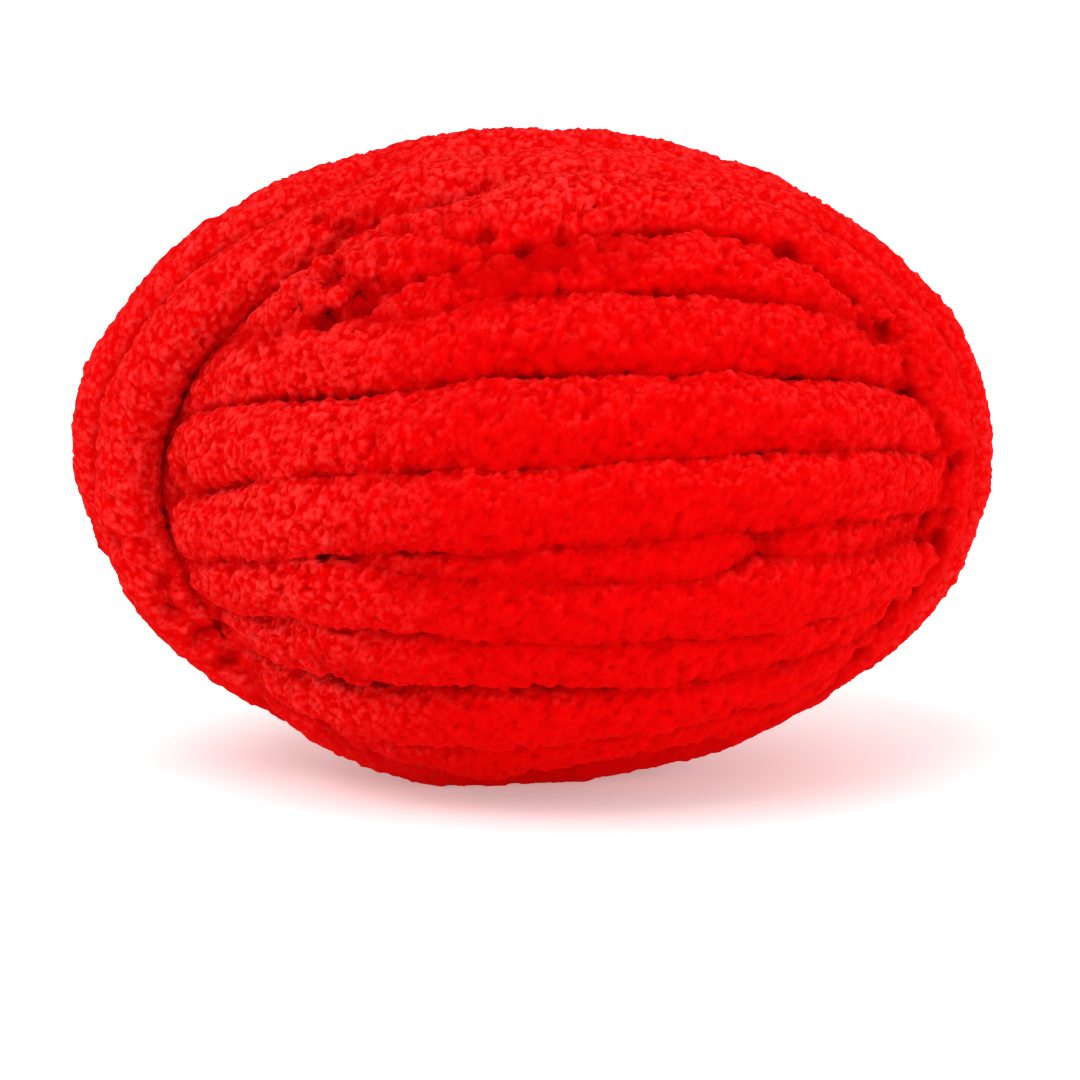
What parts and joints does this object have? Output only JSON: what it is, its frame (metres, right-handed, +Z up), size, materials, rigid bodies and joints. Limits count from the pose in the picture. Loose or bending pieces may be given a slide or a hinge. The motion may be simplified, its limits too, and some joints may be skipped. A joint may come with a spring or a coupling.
{
  "type": "ball of yarn",
  "caption": "Egg-shaped ball of very thick plush yarn, lying on its side, with its wound turns raised and a small flat spot to rest on.",
  "frame": {"origin": "centre of the ball's box, on the surface that it rests on", "axes": "+X along the ball's long axis, +Z up, and -Y the front, where the round turns show"},
  "size_m": [0.2482, 0.1794, 0.1773],
  "materials": {
    "plush_yarn": "matt curly plush pile, bright red"
  },
  "bodies": {
    "root": {"wound_yarn": "plush_yarn"}
  },
  "joints": []
}
